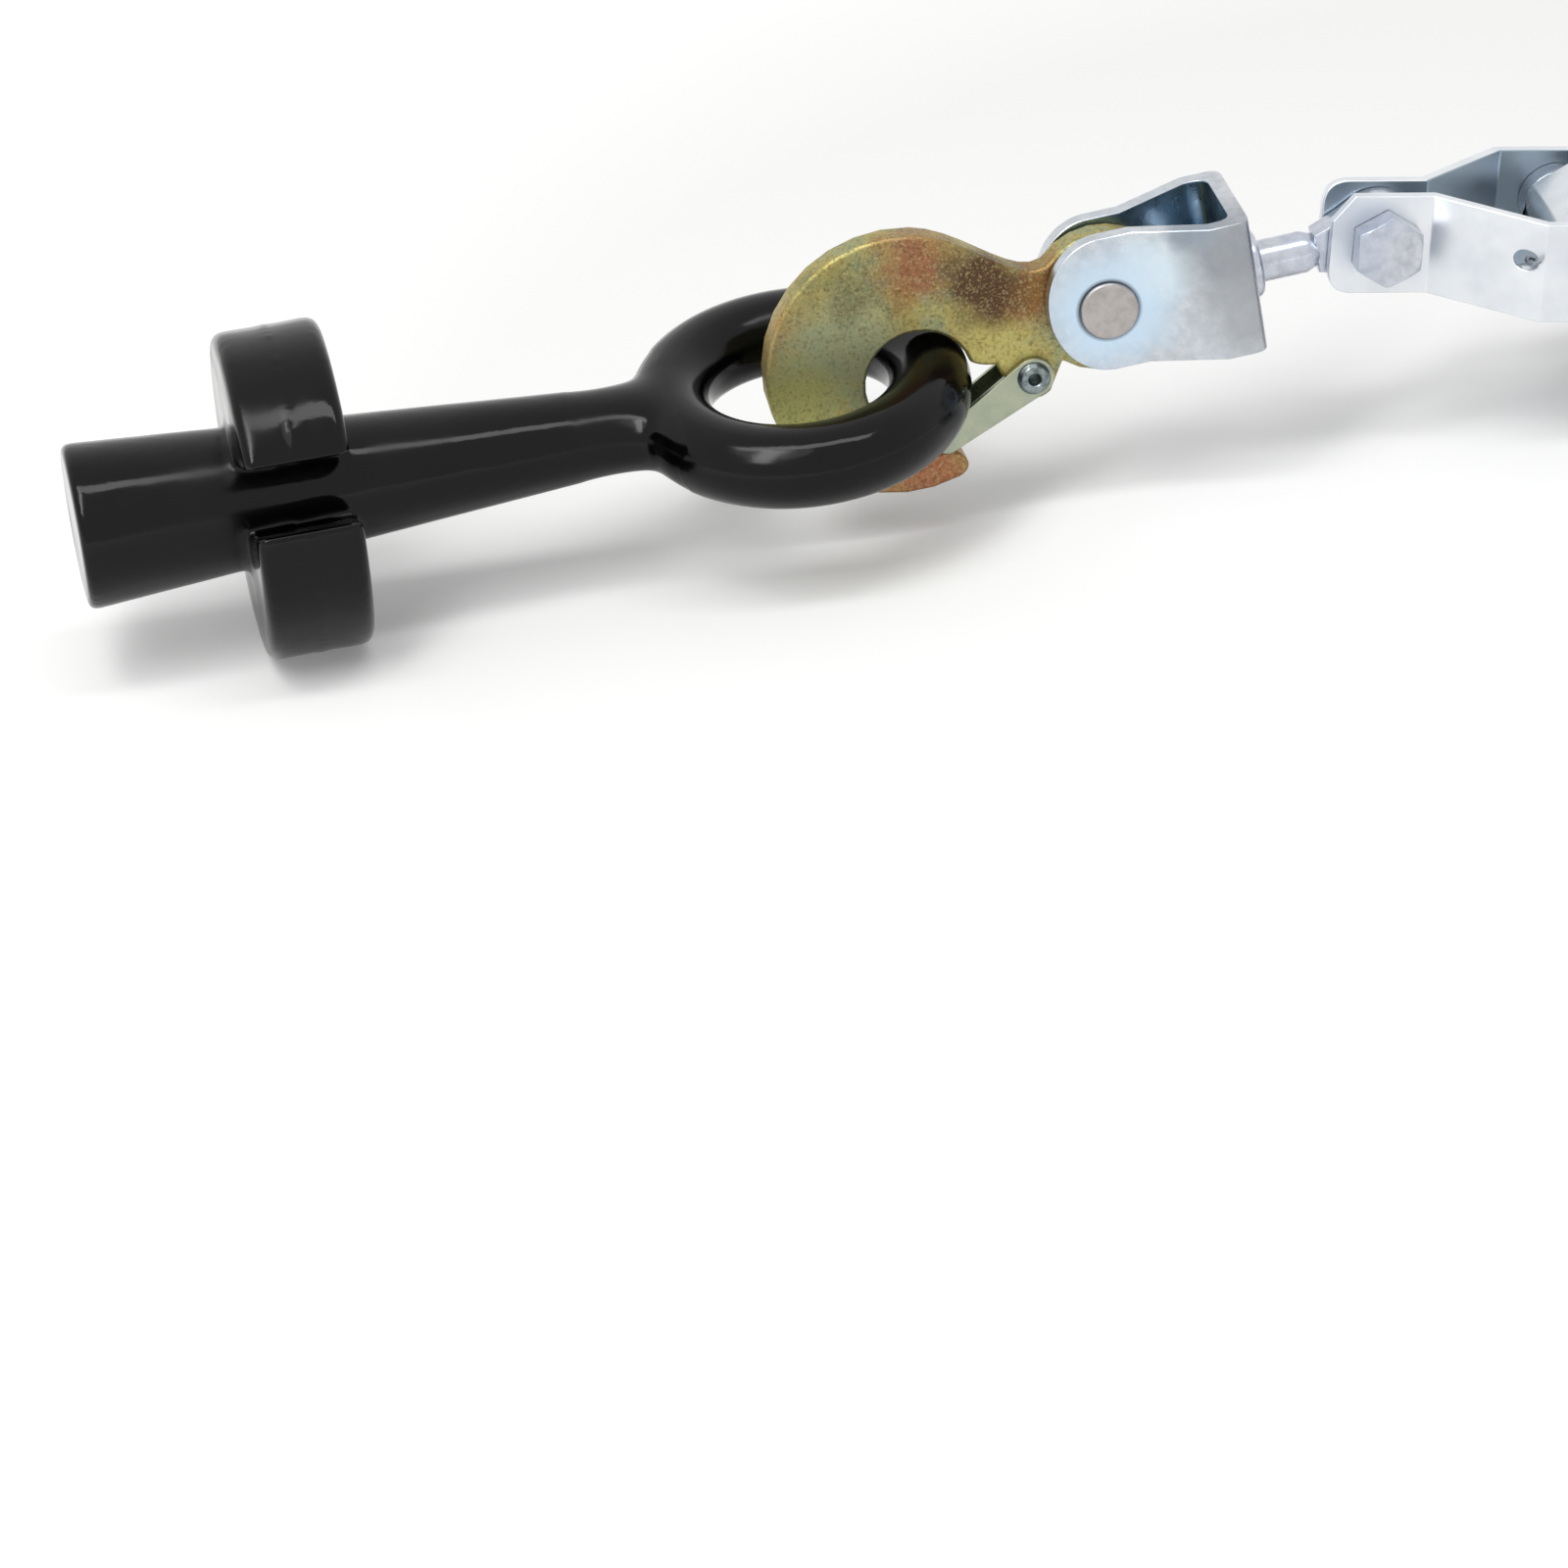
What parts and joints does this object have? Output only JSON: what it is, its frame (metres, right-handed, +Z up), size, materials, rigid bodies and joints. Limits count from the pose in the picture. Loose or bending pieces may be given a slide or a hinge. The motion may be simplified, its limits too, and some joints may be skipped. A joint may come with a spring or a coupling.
{
  "type": "come along winch",
  "caption": "Hand ratchet winch with swivel clevis, plate hook and latch, drawn by a lever, and a black cast wire grip hooked on its front hook.",
  "frame": {"origin": "middle of the footprint, on the floor under the collar, the ratchet wheels and the hand grip", "axes": "+Z up, +X from the wire grip towards the handle, near side of the drum at -Y"},
  "size_m": [0.7622, 0.09, 0.086],
  "materials": {
    "black_coat": "glossy black dip coating",
    "yellow_zinc": "yellow chromated zinc plate",
    "bright_zinc": "bright zinc plate",
    "cast_steel": "zinc-plated stamped and turned steel",
    "spring_steel": "plain spring steel",
    "rubber": "moulded black rubber"
  },
  "bodies": {
    "frame": {"near_strap": "bright_zinc", "far_strap": "bright_zinc", "front_bolt": "bright_zinc", "front_washer": "bright_zinc", "front_nut": "bright_zinc", "pawl_rod": "bright_zinc", "pawl_rod_bush": "bright_zinc", "holding_pawl_spring": "spring_steel", "axle_bolt": "bright_zinc", "axle_washer": "bright_zinc", "axle_nut": "bright_zinc"},
    "swivel": {"swivel_eye": "bright_zinc", "swivel_nut": "bright_zinc"},
    "clevis": {"clevis": "bright_zinc", "clevis_pin": "bright_zinc"},
    "hook": {"hook": "yellow_zinc", "latch_rivet": "spring_steel"},
    "latch": {"latch": "yellow_zinc"},
    "wire_grip": {"wire_grip": "black_coat"},
    "drum": {"drum_core": "cast_steel", "near_ratchet_wheel": "cast_steel", "far_ratchet_wheel": "cast_steel"},
    "handle": {"handle_yoke": "bright_zinc", "handle_tube": "bright_zinc", "handle_rivet": "spring_steel", "hand_grip": "rubber", "drive_pawl_pin": "spring_steel", "drive_pawl_spacer": "bright_zinc", "drive_pawl_spring": "spring_steel"},
    "drive_pawl": {"drive_pawl": "bright_zinc"},
    "holding_pawl": {"holding_pawl": "bright_zinc"}
  },
  "joints": [
    {"name": "eye_pivot", "type": "hinge", "parent": "frame", "child": "swivel", "pos_m": [-0.03394, -0.00047, 0.05897], "axis": [0, 1, 0], "range_deg": [-60, 60]},
    {"name": "swivel_spin", "type": "hinge", "parent": "swivel", "child": "clevis", "pos_m": [-0.10837, -0.00047, 0.05572], "axis": [0.999, 0, 0.0436], "continuous": true},
    {"name": "hook_pivot", "type": "hinge", "parent": "clevis", "child": "hook", "pos_m": [-0.10837, -0.00047, 0.05572], "axis": [0, 1, 0], "range_deg": [-60, 60]},
    {"name": "latch_hinge", "type": "hinge", "parent": "hook", "child": "latch", "pos_m": [-0.12935, -0.00047, 0.03885], "axis": [0, 1, 0], "range_deg": [0, 3], "stiffness_Nm_per_rad": 0.02, "springref_deg": -45.84},
    {"name": "grip_swing", "type": "hinge", "parent": "hook", "child": "wire_grip", "pos_m": [-0.15615, -0.00047, 0.043], "axis": [0, 1, 0], "range_deg": [-30, 30]},
    {"name": "drum_spin", "type": "hinge", "parent": "frame", "child": "drum", "pos_m": [0.08116, -0.00047, 0.038], "axis": [0, 1, 0], "continuous": true},
    {"name": "handle_swing", "type": "hinge", "parent": "frame", "child": "handle", "pos_m": [0.08116, -0.00047, 0.038], "axis": [0, -1, 0], "range_deg": [0, 90]},
    {"name": "drive_pawl_lift", "type": "hinge", "parent": "handle", "child": "drive_pawl", "pos_m": [0.13231, -0.00047, 0.04739], "axis": [0, -1, 0], "range_deg": [0, 20], "stiffness_Nm_per_rad": 0.15, "springref_deg": -34.38},
    {"name": "holding_pawl_lift", "type": "hinge", "parent": "frame", "child": "holding_pawl", "pos_m": [0.01918, -0.00047, 0.04929], "axis": [0, -1, 0], "range_deg": [0, 15], "stiffness_Nm_per_rad": 0.2, "springref_deg": -34.38}
  ]
}
